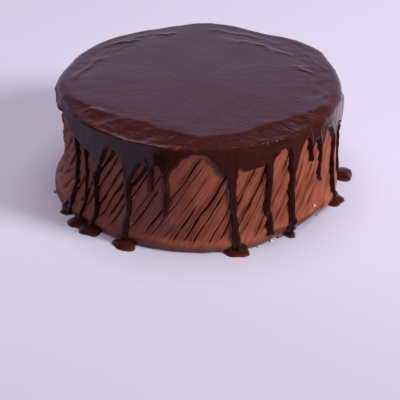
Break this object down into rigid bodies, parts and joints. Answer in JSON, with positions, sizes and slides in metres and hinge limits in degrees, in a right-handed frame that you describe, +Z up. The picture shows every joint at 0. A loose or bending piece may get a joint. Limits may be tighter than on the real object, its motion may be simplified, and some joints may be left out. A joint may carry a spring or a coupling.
{
  "type": "chocolate cake",
  "caption": "Round chocolate layer cake with knife-marked buttercream sides and a poured dark ganache glaze that drips down the side into small puddles.",
  "frame": {"origin": "on the surface that the cake stands on, on the cake's own axis", "axes": "+Z up, the front of the cake faces -Y, its right is +X"},
  "size_m": [0.2454, 0.238, 0.091],
  "materials": {
    "buttercream": "satin-matte milk chocolate buttercream, spread with a knife",
    "ganache": "smooth semi-gloss dark chocolate glaze"
  },
  "bodies": {
    "root": {"cake": "buttercream", "glaze": "ganache"}
  },
  "joints": []
}
